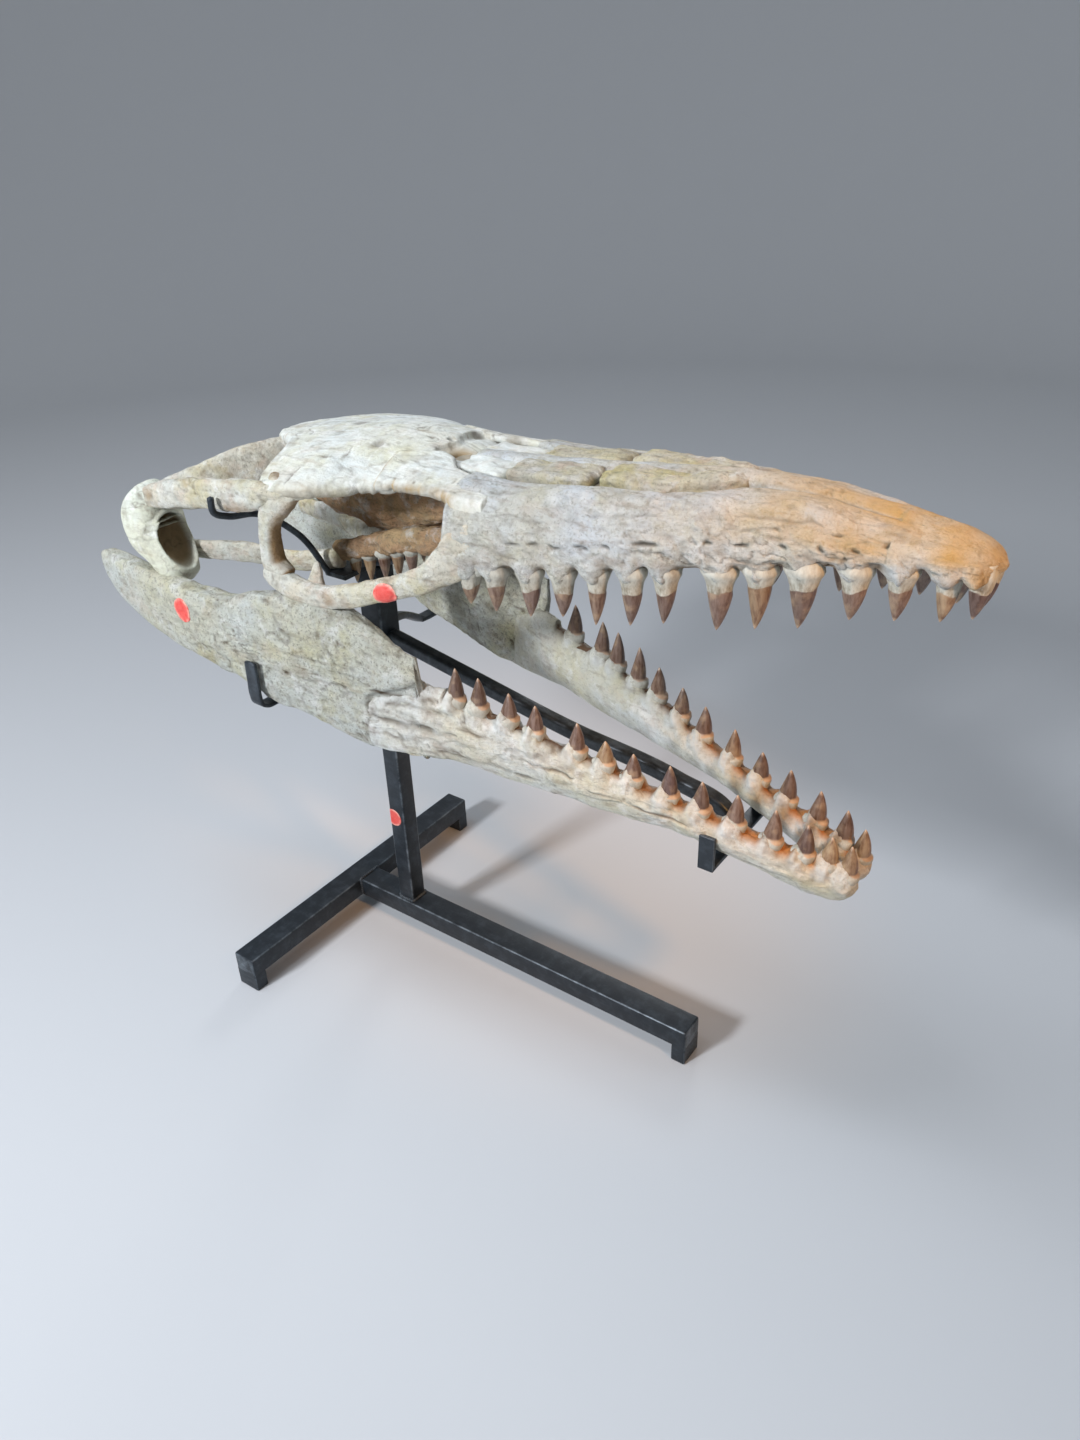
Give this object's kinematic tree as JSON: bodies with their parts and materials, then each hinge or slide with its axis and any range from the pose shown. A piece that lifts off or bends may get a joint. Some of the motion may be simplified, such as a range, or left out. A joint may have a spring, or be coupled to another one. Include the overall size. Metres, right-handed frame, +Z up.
{
  "type": "fossil mosasaur skull",
  "caption": "Life-size fossil skull of a marine reptile with open toothed jaws, held on a welded black steel stand.",
  "frame": {"origin": "on the floor under the middle of the object's box: midway between the lower jaw's rear tip and the snout tip, on the middle plane", "axes": "+X along the skull to the snout, +Y to the animal's left, +Z up from the floor that the feet stand on"},
  "size_m": [0.884, 0.382, 0.635],
  "materials": {
    "bone": "matt fossil bone with brown enamel teeth",
    "matrix": "matt phosphate sediment",
    "steel": "satin black paint"
  },
  "bodies": {
    "root": {"braincase": "bone", "coronoid_left": "bone", "coronoid_right": "bone", "dentary_left": "bone", "dentary_right": "bone", "frontal": "bone", "jugal_left": "bone", "jugal_right": "bone", "maxilla_left": "bone", "maxilla_right": "bone", "naris_fill_left": "matrix", "naris_fill_right": "matrix", "parietal": "bone", "postdentary_left": "bone", "postdentary_right": "bone", "postfrontal_left": "bone", "postfrontal_right": "bone", "postorbital_bar_left": "bone", "postorbital_bar_right": "bone", "prefrontal_left": "bone", "prefrontal_right": "bone", "premaxilla": "bone", "pterygoid_left": "bone", "pterygoid_right": "bone", "pterygoid_wing_left": "bone", "pterygoid_wing_right": "bone", "quadrate_left": "bone", "quadrate_right": "bone", "stand_arm_left": "steel", "stand_arm_right": "steel", "stand_crossbar": "steel", "stand_foot_front": "steel", "stand_foot_rear_left": "steel", "stand_foot_rear_right": "steel", "stand_front_clip": "steel", "stand_front_clip_tab_left": "steel", "stand_front_clip_tab_right": "steel", "stand_jaw_hook_floor_left": "steel", "stand_jaw_hook_floor_right": "steel", "stand_jaw_hook_wall_left": "steel", "stand_jaw_hook_wall_right": "steel", "stand_jaw_rod": "steel", "stand_long_bar": "steel", "stand_palate_bar": "steel", "stand_palate_strut": "steel", "stand_post": "steel", "stand_post_head": "steel", "stand_rear_rod_left": "steel", "stand_rear_rod_right": "steel", "suspensorium_left": "bone", "suspensorium_right": "bone", "temporal_arch_left": "bone", "temporal_arch_right": "bone"}
  },
  "joints": []
}
